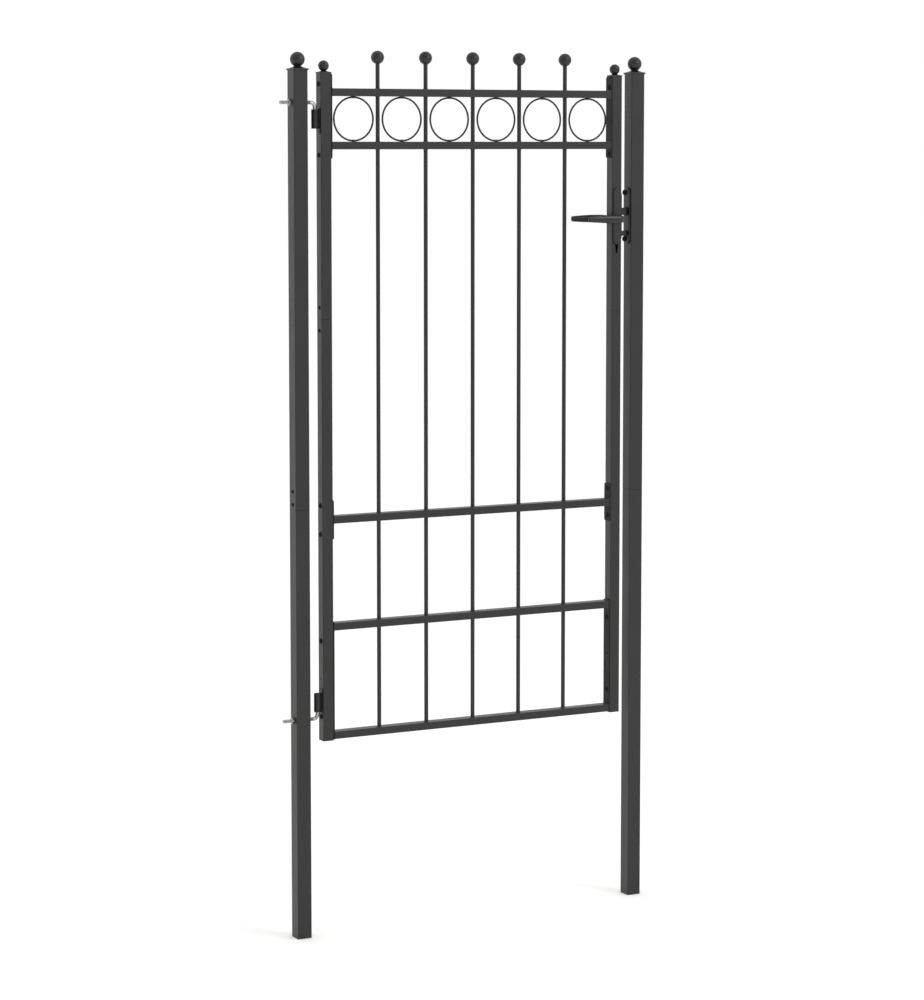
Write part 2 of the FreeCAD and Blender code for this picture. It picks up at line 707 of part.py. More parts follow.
def make_stiles(parts):
    lower_length = stile_seam - stile_bottom
    points = stile_screw_points()
    holes = bolt_holes() + screw_holes(points)
    side = stile_width - 2 * stile_wall - 2 * slide_fit
    sleeve_z = stile_seam - stile_sleeve_length / 2
    sleeves = []
    for name, x in (("hinge", hinge_stile_x), ("latch", latch_stile_x)):
        extra = lock_openings() + cover_screw_holes() if name == "latch" else []
        upper = stile_tube(x, stile_seam, stile_upper_length)
        parts[name + "_stile_lower"] = cut_all(stile_tube(x, stile_bottom, lower_length), holes)
        parts[name + "_stile_upper"] = cut_all(upper, holes + extra)
        parts[name + "_stile_cap"] = at(stile_cap(), x, 0, stile_top)
        sleeve = square_tube(side, side, stile_sleeve_length, stile_sleeve_wall, sleeve_corner)
        sleeves.append(cut_all(at(sleeve, x, 0, sleeve_z), screw_holes(points)))
    parts["stile_sleeves"] = Part.makeCompound(sleeves)
    parts["stile_joint_screws"] = joint_screws(points)
    plugs = [at(foot_plug(), x, 0, stile_bottom) for x in (hinge_stile_x, latch_stile_x)]
    parts["stile_foot_plugs"] = Part.makeCompound(plugs)


def foot_plug():
    flange = square_section(stile_width, stile_width, foot_plug_flange, stile_corner)
    flange = at(flange, 0, 0, -foot_plug_flange)
    skirt = at(plug_skirt(stile_width, stile_wall), 0, 0, cap_skirt)
    return flange.fuse(skirt).removeSplitter()


# --- lock ---

def cover_screw_heights():
    reach = cover_length / 2 - cover_width / 2
    return [cover_z - reach, cover_z + reach]


def cover_screw_holes():
    length = stile_width + 2 * cover_thickness + 2
    radius = screw_diameter / 2 + screw_fit
    return [rod_along((0, 1, 0), radius, (spindle_x, -length / 2, z), length) for z in cover_screw_heights()]


def cover_tip_holes():
    """Blind holes in the front cover's back for the cover screws' tips."""
    radius = screw_diameter / 2 + screw_fit
    back = -stile_face + 1
    length = cover_screw_socket + 1
    return [rod_along((0, -1, 0), radius, (spindle_x, back, z), length) for z in cover_screw_heights()]


def lock_cover():
    """The long cover plate on the front of the stile, with a raised collar round the lever's neck."""
    plate = racetrack(cover_width, cover_length, cover_thickness)
    plate = round_far_rim(plate, cover_thickness, cover_edge)
    front = cover_thickness + collar_height
    collar = rod_along((1, 0, 0), collar_diameter / 2, (cover_edge, 0, -cover_rise), front - cover_edge)
    hole = rod_along((1, 0, 0), spindle_hole / 2, (-1, 0, -cover_rise), front + 2)
    cover = plate.fuse(collar).removeSplitter().cut(hole)
    return at(turned_to_front(cover), spindle_x, -stile_face, cover_z)


def round_far_rim(plate, x, radius):
    return plate.makeFillet(radius, edges_at_x(plate, x))


def edges_at_x(solid, x):
    return [edge for edge in solid.Edges if abs(edge.BoundBox.XMin - x) + abs(edge.BoundBox.XMax - x) < tiny]


def cover_screws():
    """Through screws whose heads sit on the back cover and whose tips end in the front cover."""
    back = stile_face + cover_thickness
    length = stile_width + cover_thickness + cover_screw_bite
    screws = []
    for z in cover_screw_heights():
        head = socket_head(screw_head, screw_head_height, (spindle_x, back, z), (0, 1, 0))
        shank = rod_along((0, -1, 0), screw_diameter / 2, (spindle_x, back, z), length)
        screws.append(head.fuse(shank))
    return Part.makeCompound(screws)


def lock_case():
    """A thin box inside the stile, open to the latch bolt, that carries the hub."""
    x0 = latch_stile_inside + stile_wall + slide_fit
    x1 = latch_stile_outside - stile_wall - slide_fit
    half = stile_width / 2 - stile_wall - slide_fit
    z0 = spindle_z - case_below
    z1 = spindle_z + case_above
    wall = case_wall
    case = box(x0, x1, -half, half, z0, z1)
    case = case.cut(box(x0 + wall, x1 - wall, -half + wall, half - wall, z0 + wall, z1 - wall))
    bore = rod_along((0, 1, 0), hub_diameter / 2 + pin_fit, (spindle_x, -half - 1, spindle_z), 2 * half + 2)
    return cut_all(case.cut(bore), bolt_passages(x1 - 2 * wall, x1 + 1))


def face_plate():
    """The plate on the stile's edge that both bolts come out of."""
    plate = racetrack(face_plate_width, face_plate_length, face_plate_thickness)
    plate = at(plate, latch_stile_outside, 0, cover_z)
    return cut_all(plate, bolt_passages(latch_stile_x, latch_stile_outside + face_plate_thickness + 1))


def hub():
    """The hub in the lock case, with the arm that draws the bolt and a square hole for the spindle."""
    half = stile_width / 2 - stile_wall - slide_fit
    barrel = rod_along((0, 1, 0), hub_diameter / 2, (spindle_x, -half, spindle_z), 2 * half)
    x0 = spindle_x - arm_lead
    arm = box(x0, x0 + arm_thickness, -arm_width / 2, arm_width / 2, spindle_z, spindle_z + arm_length)
    reach = spindle_side / 2 + pin_fit
    return barrel.fuse(arm).removeSplitter().cut(spindle_block(reach, -half - 1, half + 1))


def spindle_block(reach, y0, y1):
    """A square bar on the spindle's axis."""
    return box(spindle_x - reach, spindle_x + reach, y0, y1, spindle_z - reach, spindle_z + reach)


def spindle():
    return spindle_block(spindle_side / 2, -spindle_end, spindle_end)


def lever():
    """The front lever: a round neck, an elbow and a grip that narrows to its tip."""
    middle = -(stile_face + lever_stand)
    neck_length = neck_start_y - middle
    neck = rod_along((0, -1, 0), neck_diameter / 2, (spindle_x, neck_start_y, spindle_z), neck_length)
    elbow = Part.makeSphere(lever_elbow, FreeCAD.Vector(spindle_x, middle, spindle_z))
    sections = []
    for distance, half_height, half_depth, setback in grip_stations:
        centre = FreeCAD.Vector(spindle_x - distance, middle + setback, spindle_z)
        ellipse = Part.Ellipse(centre + FreeCAD.Vector(0, 0, half_height),
                               centre + FreeCAD.Vector(0, half_depth, 0), centre)
        sections.append(Part.Wire([ellipse.toShape()]))
    grip = Part.makeLoft(sections, True, False)
    body = neck.fuse(elbow).fuse(grip).removeSplitter()
    socket = spindle_block(spindle_side / 2 + pin_fit, -spindle_end, -stile_face)
    grub_top = (spindle_x, grub_y, spindle_z)
    grub_hole = rod_along((0, 0, -1), grub_diameter / 2 + pin_fit, grub_top, neck_diameter)
    return body.cut(socket).cut(grub_hole)


def grub_screws():
    """Set screws that come up through each neck and press on the spindle."""
    top = spindle_z - spindle_side / 2
    front = rod_along((0, 0, -1), grub_diameter / 2, (spindle_x, grub_y, top), grub_length)
    return Part.makeCompound([front, mirrored_y(front)])


def latch_bolt():
    """The bolt, with a notch below for the hub's arm and a blind hole behind for its spring."""
    tail = bolt_tail_x
    tip = keeper_face_x + bolt_entry
    half_y = bolt_width / 2
    z0 = latch_bolt_z - bolt_height / 2
    body = box(tail, tip, -half_y, half_y, z0, z0 + bolt_height)
    body = chamfer_bolt_tip(body, tip)
    notch = box(tail + bolt_tail, tail + bolt_tail + notch_length, -arm_width / 2 - free_gap,
                arm_width / 2 + free_gap, z0 - 1, z0 + notch_depth)
    spring_radius = latch_spring_diameter / 2 + free_gap
    spring_hole = rod_along((1, 0, 0), spring_radius, (tail - 1, 0, spring_z), latch_spring_socket + 1)
    return body.cut(notch).cut(spring_hole)


def dead_bolt():
    """The square bolt that the key throws, drawn as it stands when the gate is locked."""
    z0 = dead_bolt_z - dead_bolt_height / 2
    x0 = spindle_x + dead_bolt_tail
    return box(x0, keeper_face_x + bolt_entry, -bolt_width / 2, bolt_width / 2, z0, z0 + dead_bolt_height)


def chamfer_bolt_tip(body, tip):
    """Bevel the tip on the side that meets the keeper as the leaf closes."""
    front = [edge for edge in edges_at_x(body, tip) if abs(edge.BoundBox.YMax + bolt_width / 2) < tiny]
    return body.makeChamfer(bolt_bevel, front)


def latch_spring():
    """A coil spring from the wall of the case to the bottom of the bolt's blind hole."""
    wall_x = latch_stile_inside + stile_wall + slide_fit + case_wall
    end_x = bolt_tail_x + latch_spring_socket
    wire = latch_spring_wire
    length = end_x - wall_x - wire
    radius = (latch_spring_diameter - wire) / 2
    helix = Part.makeHelix(length / latch_spring_turns, length, radius)
    section = Part.Circle(FreeCAD.Vector(radius, 0, 0), FreeCAD.Vector(0, 1, 0), wire / 2)
    profile = Part.Wire([section.toShape()])
    coil = Part.Wire(helix.Edges).makePipeShell([profile], True, True)
    coil.rotate(FreeCAD.Vector(0, 0, 0), FreeCAD.Vector(0, 1, 0), 90)
    return at(coil, wall_x + wire / 2, 0, spring_z)


def keeper():
    """The plate with rounded ends on the latch post, with a slot for each bolt."""
    plate = racetrack(keeper_width, cover_length, keeper_thickness)
    plate = round_far_rim(plate, keeper_thickness, keeper_edge)
    plate.rotate(FreeCAD.Vector(0, 0, 0), FreeCAD.Vector(0, 0, 1), 180)
    plate = at(plate, latch_post_inside, 0, cover_z)
    return cut_all(plate, keeper_screw_holes() + keeper_slots())


def keeper_screws():
    screws = []
    for z in keeper_screw_heights():
        face = (keeper_face_x, keeper_screw_back, z)
        head = socket_head(keeper_screw_head, keeper_screw_head_height, face, (-1, 0, 0))
        shank = rod_along((1, 0, 0), keeper_screw_diameter / 2, face, keeper_thickness + screw_reach)
        screws.append(head.fuse(shank))
    return Part.makeCompound(screws)


def make_lock(parts):
    front_cover = lock_cover()
    front_lever = lever()
    parts["front_lock_cover"] = cut_all(front_cover, cover_tip_holes())
    parts["back_lock_cover"] = cut_all(mirrored_y(front_cover), cover_screw_holes())
    parts["cover_screws"] = cover_screws()
    parts["lock_case"] = lock_case()
    parts["lock_face_plate"] = face_plate()
    parts["latch_spring"] = latch_spring()
    parts["dead_bolt"] = dead_bolt()
    parts["latch_bolt"] = latch_bolt()
    parts["front_lever"] = front_lever
    parts["back_lever"] = mirrored_y(front_lever)
    parts["lever_spindle"] = spindle()
    parts["lever_hub"] = hub()
    parts["lever_grub_screws"] = grub_screws()
    parts["keeper"] = keeper()
    parts["keeper_screws"] = keeper_screws()


def make_gate():
    parts = {}
    make_posts(parts)
    make_hinges(parts)
    make_stiles(parts)
    make_rails(parts)
    make_bars(parts)
    make_rings(parts)
    make_end_plates(parts)
    make_lock(parts)
    parts["frame_bolts"] = frame_bolts()
    parts["frame_cap_nuts"] = frame_cap_nuts()
    return parts


def write_parts(parts):
    os.makedirs("parts", exist_ok=True)
    for name, shape in parts.items():
        solids = shape.Solids
        shape = solids[0] if len(solids) == 1 else Part.makeCompound(solids)
        shape.exportStep("parts/%s.step" % name)
        print(name, len(solids), "solid(s),", round(shape.Volume / 1000, 1), "cm3, valid", shape.isValid())


write_parts(make_gate())
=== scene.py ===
import json
import math

import bmesh
import bpy
import numpy as np
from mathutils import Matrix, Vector


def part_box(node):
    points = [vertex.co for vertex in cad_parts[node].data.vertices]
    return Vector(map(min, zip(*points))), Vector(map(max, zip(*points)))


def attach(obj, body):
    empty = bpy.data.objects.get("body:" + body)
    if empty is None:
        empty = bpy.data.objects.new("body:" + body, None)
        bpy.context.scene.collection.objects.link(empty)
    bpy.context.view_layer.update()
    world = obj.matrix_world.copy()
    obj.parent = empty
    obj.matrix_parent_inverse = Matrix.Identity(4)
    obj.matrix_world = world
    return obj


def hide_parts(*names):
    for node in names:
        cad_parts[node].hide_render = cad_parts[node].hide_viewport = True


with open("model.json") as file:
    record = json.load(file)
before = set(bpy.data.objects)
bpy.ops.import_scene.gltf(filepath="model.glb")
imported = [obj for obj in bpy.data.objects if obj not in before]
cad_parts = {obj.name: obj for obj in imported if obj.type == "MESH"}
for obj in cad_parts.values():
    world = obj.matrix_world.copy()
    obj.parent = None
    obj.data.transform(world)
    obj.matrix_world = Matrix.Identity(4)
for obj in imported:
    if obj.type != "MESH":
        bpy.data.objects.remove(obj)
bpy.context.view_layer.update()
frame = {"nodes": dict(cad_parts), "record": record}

mm = 0.001
coatSlot = "powder_coated_steel"
zincSlot = "zinc_plated_steel"
print("frame loaded,", len(frame["nodes"]), "CAD nodes")


def linearOf(hexColour):
    # sRGB hex to linear light: the low end is a straight line, the rest a power of 2.4
    shades = [int(hexColour[i:i + 2], 16) / 255 for i in (1, 3, 5)]
    return [s / 12.92 if s <= 0.04045 else ((s + 0.055) / 1.055) ** 2.4 for s in shades] + [1.0]


def addNode(tree, kind, settings=None, links=None):
    node = tree.nodes.new(kind)
    for name, value in (settings or {}).items():
        if isinstance(name, int) or name in node.inputs:
            node.inputs[name].default_value = value
        else:
            setattr(node, name, value)
    for name, source in (links or {}).items():
        tree.links.new(source, node.inputs[name])
    return node


def newMaterial(name):
    material = bpy.data.materials.new(name)
    material.use_nodes = True
    material.node_tree.nodes.clear()
    return material, material.node_tree


cloudy = dict(detail=3.0, fineDetail=1.0, span=(0.3, 0.7), relief=1.0)


def cloudyFinish(look):
    # two tones in soft clouds, a roughness that follows them, and two layers of fine relief;
    # what is the same all over is set on the shader's own sockets
    material, tree = newMaterial(look["name"])
    place = addNode(tree, "ShaderNodeTexCoord").outputs["Object"]
    cloud = addNode(tree, "ShaderNodeTexNoise",
                    {"Scale": 1 / (look["cloud"] * mm), "Detail": cloudy["detail"]}, {"Vector": place})
    low, high = cloudy["span"]
    even = addNode(tree, "ShaderNodeMapRange", {"From Min": low, "From Max": high},
                   {"Value": cloud.outputs["Fac"]})
    colour = addNode(tree, "ShaderNodeMix",
                     {"data_type": "RGBA", 6: linearOf(look["dark"]), 7: linearOf(look["light"])},
                     {0: even.outputs["Result"]})
    smoothest, roughest = look["roughness"]
    roughness = addNode(tree, "ShaderNodeMapRange", {"To Min": smoothest, "To Max": roughest},
                        {"Value": even.outputs["Result"]})
    fine = addNode(tree, "ShaderNodeTexNoise",
                   {"Scale": 1 / (look["fine"] * mm), "Detail": cloudy["fineDetail"]}, {"Vector": place})
    grain = addNode(tree, "ShaderNodeTexVoronoi", {"Scale": 1 / (look["grain"] * mm)}, {"Vector": place})
    under = addNode(tree, "ShaderNodeBump", {"Strength": cloudy["relief"], "Distance": look["fineDepth"] * mm},
                    {"Height": fine.outputs["Fac"]})
    top = addNode(tree, "ShaderNodeBump", {"Strength": cloudy["relief"], "Distance": look["grainDepth"] * mm},
                  {"Height": grain.outputs["Distance"], "Normal": under.outputs["Normal"]})
    shader = addNode(tree, "ShaderNodeBsdfPrincipled", {"Metallic": look["metallic"], "IOR": look["ior"]},
                     {"Base Color": colour.outputs[2], "Roughness": roughness.outputs["Result"],
                      "Normal": top.outputs["Normal"]})
    addNode(tree, "ShaderNodeOutputMaterial", links={"Surface": shader.outputs["BSDF"]})
    return material


# In each look, cloud, fine and grain are the sizes of its patterns in mm, and the depths are in mm too.

# Polyester powder coat, sprayed dry on steel and baked: satin anthracite, with the soft "orange peel"
# of powder that flowed together. Real peel is about 2 mm across, and it is drawn a little coarser to show.
powderCoat = dict(name="polyesterPowderCoat", dark="#141414", light="#1a1a1b", roughness=(0.38, 0.45),
                  cloud=85, fine=3.2, fineDepth=0.022, grain=0.9, grainDepth=0.004, metallic=0.0, ior=1.5)

# The same coat on pressure die-cast zinc: the levers come out smoother and a touch glossier.
leverCoat = dict(name="powderCoatOnDieCasting", dark="#131314", light="#18181a", roughness=(0.29, 0.35),
                 cloud=40, fine=4.5, fineDepth=0.012, grain=1.2, grainDepth=0.002, metallic=0.0, ior=1.5)

# Screws and end plates come dip-painted: a thin even black with little gloss, darker than the coat round it.
dipPaint = dict(name="blackDipPaint", dark="#060606", light="#090909", roughness=(0.56, 0.64),
                cloud=30, fine=3.2, fineDepth=0.010, grain=0.9, grainDepth=0.003, metallic=0.0, ior=1.36)

# Electroplated zinc with a clear passivate: a bright cold grey, with hazy patches a few millimetres across.
zincPlate = dict(name="brightZincPlate", dark="#9a9c9b", light="#c6c5bf", roughness=(0.24, 0.42),
                 cloud=7, fine=1.1, fineDepth=0.010, grain=0.5, grainDepth=0.004, metallic=1.0, ior=1.5)

# Injection-moulded polyethylene with a spark-eroded mould texture: matt, with a fine even pebble.
mouldedPlastic = dict(name="mouldedBlackPlastic", dark="#131313", light="#181818", roughness=(0.50, 0.58),
                      cloud=30, fine=1.4, fineDepth=0.015, grain=0.7, grainDepth=0.012, metallic=0.0, ior=1.5)

coat = cloudyFinish(powderCoat)
castCoat = cloudyFinish(leverCoat)
blackPaint = cloudyFinish(dipPaint)
zinc = cloudyFinish(zincPlate)
plastic = cloudyFinish(mouldedPlastic)
finishOfSlot = {coatSlot: coat, zincSlot: zinc, "black_plastic": plastic}
endPlates = [side + "_side_" + height + "_plate"
             for side in ("hinge", "latch") for height in ("top", "middle", "bottom")]

for part in frame["record"]["subparts"]:
    mesh = frame["nodes"][part["node"]].data
    mesh.materials.clear()
    finish = blackPaint if part["node"] in endPlates else finishOfSlot[part["material_slot"]]
    mesh.materials.append(finish)
print("materials made")


class Solid:
    # the box of one solid, in metres
    def __init__(self, low, high):
        self.low, self.high = np.array(low), np.array(high)
        self.middle, self.size = (self.low + self.high) / 2, self.high - self.low


def solidOf(node):
    low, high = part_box(node)
    return Solid(low, high)


def solidsOf(node):
    # the separate solids of a node: corners at one place share a label,
    # and each face spreads the lowest of its labels until nothing changes
    mesh = frame["nodes"][node].data
    points = np.empty(len(mesh.vertices) * 3)
    mesh.vertices.foreach_get("co", points)
    corners = np.empty(len(mesh.loop_triangles) * 3, int)
    mesh.loop_triangles.foreach_get("vertices", corners)
    places, index = np.unique(np.round(points.reshape(-1, 3), 7), axis=0, return_inverse=True)
    faces = index.ravel()[corners].reshape(-1, 3)
    label = np.arange(len(places))
    settled = False
    while not settled:
        spread = label.copy()
        lowest = label[faces].min(axis=1)
        for side in range(3):
            np.minimum.at(spread, faces[:, side], lowest)
        spread = spread[spread]
        settled = np.array_equal(spread, label)
        label = spread
    groups = [places[label == one] for one in np.unique(label)]
    found = [Solid(group.min(axis=0), group.max(axis=0)) for group in groups]
    return sorted(found, key=lambda solid: tuple(np.round(solid.middle, 4)))


def gridFaces(rows, columns, closeRows):
    # squares between neighbouring rows and columns; columns always join round
    r = np.arange(rows if closeRows else rows - 1)[:, None]
    c = np.arange(columns)[None, :]
    nextRow, nextColumn = (r + 1) % rows, (c + 1) % columns
    square = [r * columns + c, r * columns + nextColumn,
              nextRow * columns + nextColumn, nextRow * columns + c]
    return np.stack([np.broadcast_to(s, (len(r), columns)) for s in square], axis=-1).reshape(-1, 4)


joining = dict(doubles=1e-7, slivers=1e-8)


def makePiece(name, surfaces, finish, body, stands=(), sharp=35):
    # surfaces are (points[rows, columns, 3], closeRows); poles and seams close as doubles are merged
    points, faces, start = [], [], 0
    for grid, closeRows in surfaces:
        rows, columns = grid.shape[:2]
        points.append(grid.reshape(-1, 3))
        faces.append(gridFaces(rows, columns, closeRows) + start)
        start += rows * columns
    points, faces = np.concatenate(points), np.concatenate(faces)
    mesh = bpy.data.meshes.new(name)
    mesh.vertices.add(len(points))
    mesh.vertices.foreach_set("co", points.astype(np.float32).ravel())
    mesh.loops.add(faces.size)
    mesh.loops.foreach_set("vertex_index", faces.astype(np.int32).ravel())
    mesh.polygons.add(len(faces))
    mesh.polygons.foreach_set("loop_start", np.arange(0, faces.size, 4, dtype=np.int32))
    mesh.update(calc_edges=True)
    work = bmesh.new()
    work.from_mesh(mesh)
    bmesh.ops.remove_doubles(work, verts=work.verts, dist=joining["doubles"])
    bmesh.ops.dissolve_degenerate(work, edges=work.edges, dist=joining["slivers"])
    bmesh.ops.recalc_face_normals(work, faces=work.faces)
    work.to_mesh(mesh)
    work.free()
    mesh.shade_smooth()
    mesh.set_sharp_from_angle(angle=math.radians(sharp))
    mesh.materials.append(finish)
    piece = bpy.data.objects.new(name, mesh)
    bpy.context.scene.collection.objects.link(piece)
    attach(piece, body)
    if stands:
        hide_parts(*stands)
    return piece


def turned(start, axis, profile, sides=40, closeRows=False):
    # turned on a lathe: start + axis * distance + radius * (cos turn * side + sin turn * up);
    # profile rows are (distance, radius) or (distance, radius, share of a hexagon's shape)
    axis = np.array(axis, float)
    up = np.array([0.0, 1.0, 0.0]) if abs(axis[2]) > 0.5 else np.array([0.0, 0.0, 1.0])
    side = np.cross(up, axis)
    turn = np.arange(sides) * 2 * np.pi / sides
    profile = np.array([tuple(row) + (0.0,) * (3 - len(row)) for row in profile])
    hexagon = math.cos(math.pi / 6) / np.cos(turn % (math.pi / 3) - math.pi / 6)
    radius = profile[:, 1:2] * (1 - profile[:, 2:3] + profile[:, 2:3] * hexagon[None, :])
    ring = np.cos(turn)[:, None] * side + np.sin(turn)[:, None] * up
    grid = np.array(start) + profile[:, 0, None, None] * axis + radius[..., None] * ring[None]
    return grid, closeRows


def along(path, across, up, radii):
    # a profile carried along a path: point + width * cos turn * across + height * sin turn * up
    turn = np.arange(radii.shape[1]) * 2 * np.pi / radii.shape[1]
    width = (radii[..., 0] * np.cos(turn))[..., None] * across[:, None, :]
    height = (radii[..., 1] * np.sin(turn))[..., None] * up[:, None, :]
    return path[:, None, :] + width + height, False


def closedEnds(grid):
    # each end of a tube drawn in to its middle
    points, closeRows = grid
    first, last = points[0].mean(axis=0), points[-1].mean(axis=0)
    ends = [np.broadcast_to(end, (1,) + points.shape[1:]) for end in (first, last)]
    return np.concatenate([ends[0], points, ends[1]]), closeRows


def smoothThrough(x, xs, ys):
    # a smooth curve through stations: cubic between each two, with the slope of the stations either side
    xs, ys = np.array(xs, float), np.array(ys, float)
    slope = np.gradient(ys, xs)
    i = np.clip(np.searchsorted(xs, x) - 1, 0, len(xs) - 2)
    gap = xs[i + 1] - xs[i]
    t = np.clip((x - xs[i]) / gap, 0, 1)
    near = (2 * t ** 3 - 3 * t ** 2 + 1) * ys[i] + (t ** 3 - 2 * t ** 2 + t) * gap * slope[i]
    return near + (3 * t ** 2 - 2 * t ** 3) * ys[i + 1] + (t ** 3 - t ** 2) * gap * slope[i + 1]


def squareRing(half, corner, steps=6):
    # a square with round corners: four quarter circles, each round its own centre
    quarter = (np.arange(4)[:, None] * math.pi / 2 + np.linspace(0, math.pi / 2, steps)[None, :]).ravel()
    centre = np.repeat(np.array([[1, 1], [-1, 1], [-1, -1], [1, -1]]), steps, axis=0)
    return centre * (half - corner) + corner * np.stack([np.cos(quarter), np.sin(quarter)], axis=1)


def squareStack(x, y, rows):
    # square rings one above the other: rows are (height, half width, corner radius)
    rings = np.array([squareRing(half, corner) for z, half, corner in rows])
    heights = np.array([z for z, half, corner in rows])
    high = np.broadcast_to(heights[:, None, None], rings.shape[:2] + (1,))
    return np.concatenate([rings + [x, y], high], axis=2), False


weldBead = dict(leg=1.7 * mm, ripple=0.10, pitch=2.2 * mm, drift=0.10, startUpTo=6.28, seed=7,
                sides=44, cordSides=8,
                fillet=((1.0, -0.15), (1.0, 0.05), (0.62, 0.30), (0.34, 0.58), (0.10, 0.95), (-0.10, 1.0)))
chance = np.random.default_rng(weldBead["seed"])


def rippled(length, count):
    # a bead's size round its path: 1 plus a ripple for each drop of weld metal, with a slow drift
    s = np.linspace(0, length, count, endpoint=False)
    drift = weldBead["drift"] * np.sin(2 * np.pi * s / length + chance.uniform(0, weldBead["startUpTo"]))
    return 1 + weldBead["ripple"] * np.cos(2 * np.pi * s / weldBead["pitch"]) + drift


def beadRound(x, y, z, radius, rise):
    # a fillet round an upright bar: a hollow profile from the rail's face up the bar,
    # radius = bar + out * leg, height = rise * up * leg, with the leg rippled
    sides = weldBead["sides"]
    turn = np.arange(sides) * 2 * np.pi / sides
    leg = weldBead["leg"] * rippled(2 * np.pi * radius, sides)
    shape = np.array(weldBead["fillet"])
    out = radius + shape[:, 0:1] * leg[None, :]
    height = z + rise * shape[:, 1:2] * leg[None, :]
    return np.stack([x + out * np.cos(turn), y + out * np.sin(turn), height], axis=-1), False


def beadPath(points, normals, size):
    # a half-buried cord of weld metal along a closed path:
    # point + size * ripple * (cos turn * normal + sin turn * sideways)
    count = len(points)
    step = np.linalg.norm(np.roll(points, -1, axis=0) - points, axis=1)
    swell = size * rippled(step.sum(), count)
    forward = np.roll(points, -1, axis=0) - np.roll(points, 1, axis=0)
    forward /= np.linalg.norm(forward, axis=1)[:, None]
    aside = np.cross(forward, normals)
    turn = np.arange(weldBead["cordSides"]) * 2 * np.pi / weldBead["cordSides"]
    circle = np.cos(turn)[None, :, None] * normals[:, None, :]
    circle = circle + np.sin(turn)[None, :, None] * aside[:, None, :]
    return points[:, None, :] + swell[:, None, None] * circle, True


ballLook = dict(seam=0.10 * mm, seamWidth=0.6 * mm, neck=1.6 * mm, rows=40, sides=56,
                weldSteps=((0.8 * mm, 0.7 * mm), (2.0 * mm, 0.0)))


def ballRows(radius, bottomRadius):
    # a sphere from its top to where it meets what is below: height = radius * cos, out = radius * sin,
    # less a narrow bell curve at the middle, the faint pressed seam of its two halves
    end = math.pi - math.asin(bottomRadius / radius)
    angle = np.linspace(0, end, ballLook["rows"])
    height = radius * np.cos(angle)
    out = radius * np.sin(angle) - ballLook["seam"] * np.exp(-(height / ballLook["seamWidth"]) ** 2)
    return np.stack([height, np.maximum(out, 0)], axis=1)


barNames = sorted(name for name in frame["nodes"] if name.startswith("bar_"))
bars = [solidOf(name) for name in barNames]
railNames = ["top_rail", "ring_rail", "middle_rail", "lower_rail", "bottom_rail"]
rails = [solidOf(name) for name in railNames]

barLook = dict(edge=0.4 * mm, rows=12, sides=36)
for name, bar in zip(barNames, bars):
    r, length, edge = bar.size[0] / 2, bar.size[2], barLook["edge"]
    profile = [(0, 0), (0, r - edge), (edge, r)]
    profile += [(d, r) for d in np.linspace(2 * edge, length - 2 * edge, barLook["rows"])]
    profile += [(length - edge, r), (length, r - edge), (length, 0)]
    start = (bar.middle[0], bar.middle[1], bar.low[2])
    makePiece("round_" + name, [turned(start, (0, 0, 1), profile, barLook["sides"])], coat, "leaf", [name])

balls = solidsOf("ball_finials")
surfaces = []
for ball, bar in zip(balls, bars):
    barRadius, radius = bar.size[0] / 2, ball.size[0] / 2
    centre = ball.high[2] - radius
    rows = ballRows(radius, barRadius + ballLook["neck"])
    neck = rows[-1, 0]
    rows = [tuple(row) for row in rows]
    rows += [(neck - drop, barRadius + out) for drop, out in ballLook["weldSteps"]] + [(neck, 0)]
    surfaces.append(turned((bar.middle[0], 0, centre), (0, 0, 1), rows, ballLook["sides"]))
makePiece("finial_balls", surfaces, coat, "leaf", ["ball_finials"], sharp=60)

ringLook = dict(weldSwell=0.30, weldSpread=0.055, turns=120, sides=16)
surfaces = []
for ring in solidsOf("rings"):
    wire = ring.size[1] / 2
    big = ring.size[0] / 2 - wire
    angle = np.arange(ringLook["turns"]) * 2 * np.pi / ringLook["turns"]
    # a torus whose wire swells where it is welded to the rail above and the rail below
    fromRail = np.arccos(np.clip(np.abs(np.sin(angle)), 0, 1))
    thick = wire * (1 + ringLook["weldSwell"] * np.exp(-(fromRail / ringLook["weldSpread"]) ** 2))
    turn = np.arange(ringLook["sides"]) * 2 * np.pi / ringLook["sides"]
    out = big + thick[:, None] * np.cos(turn)
    grid = np.stack([ring.middle[0] + out * np.cos(angle)[:, None],
                     ring.middle[1] + thick[:, None] * np.sin(turn),
                     ring.middle[2] + out * np.sin(angle)[:, None]], axis=-1)
    surfaces.append((grid, True))
makePiece("wire_rings", surfaces, coat, "leaf", ["rings"], sharp=80)

surfaces = []
for rail in rails:
    for bar in bars:
        radius = bar.size[0] / 2
        surfaces.append(beadRound(bar.middle[0], 0, rail.high[2], radius, 1))
        if rail.low[2] > bar.low[2]:
            surfaces.append(beadRound(bar.middle[0], 0, rail.low[2], radius, -1))
makePiece("bar_welds", surfaces, coat, "leaf", sharp=60)

railWeld = dict(size=1.5 * mm, corner=0.15, cornerSteps=5, spacing=0.7 * mm)
surfaces = []
for rail in rails:
    ring = squareRing(1.0, railWeld["corner"], railWeld["cornerSteps"]) * [rail.size[1] / 2, rail.size[2] / 2]
    closed = np.vstack([ring, ring[:1]])
    reach = np.concatenate([[0], np.cumsum(np.linalg.norm(np.diff(closed, axis=0), axis=1))])
    s = np.arange(0, reach[-1], railWeld["spacing"])
    y, z = np.interp(s, reach, closed[:, 0]), np.interp(s, reach, closed[:, 1])
    for x, inward in ((rail.low[0], 1.0), (rail.high[0], -1.0)):
        points = np.stack([np.full(len(s), x), rail.middle[1] + y, rail.middle[2] + z], axis=1)
        normals = np.tile([inward, 0.0, 0.0], (len(s), 1))
        surfaces.append(beadPath(points, normals, railWeld["size"]))
makePiece("rail_welds", surfaces, coat, "leaf", sharp=80)
